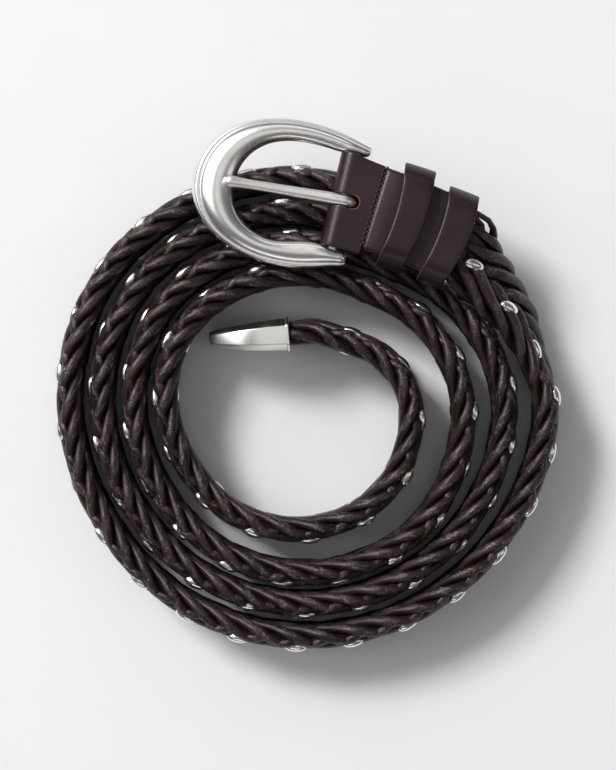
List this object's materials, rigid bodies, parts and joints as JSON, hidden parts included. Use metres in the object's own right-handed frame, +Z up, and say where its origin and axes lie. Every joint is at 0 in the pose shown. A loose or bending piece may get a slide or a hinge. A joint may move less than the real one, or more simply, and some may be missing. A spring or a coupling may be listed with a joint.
{
  "type": "braided leather belt",
  "caption": "Studded braided leather belt lying coiled on its edge, with a horseshoe buckle and prong that hinge on its bar, leather keeper loops and a metal tip.",
  "frame": {"origin": "middle of the base of the coiled belt's box", "axes": "+Z up, the coil's axis; +Y from the coil's middle towards the buckle end, +X to the right seen from above"},
  "size_m": [0.1282, 0.1348, 0.0322],
  "materials": {
    "buckle_metal": "satin polished silver plate",
    "tab_leather": "smooth, satin, very dark brown",
    "braid_leather": "fine grain, very dark brown, with metal studs"
  },
  "bodies": {
    "belt": {"strap": "braid_leather", "tip_cap": "buckle_metal", "tab": "tab_leather", "bar_loop": "tab_leather", "keeper_1": "tab_leather", "keeper_2": "tab_leather"},
    "buckle": {"buckle_frame": "buckle_metal"},
    "tongue": {"prong": "buckle_metal"}
  },
  "joints": [
    {"name": "frame_hinge", "type": "hinge", "parent": "belt", "child": "buckle", "pos_m": [0.00884, 0.04627, 0.0252], "axis": [0.2334, 0.9724, 0], "range_deg": [0, 45]},
    {"name": "prong_hinge", "type": "hinge", "parent": "buckle", "child": "tongue", "pos_m": [0.00884, 0.04627, 0.0252], "axis": [0.2334, 0.9724, 0], "range_deg": [0, 45]}
  ]
}
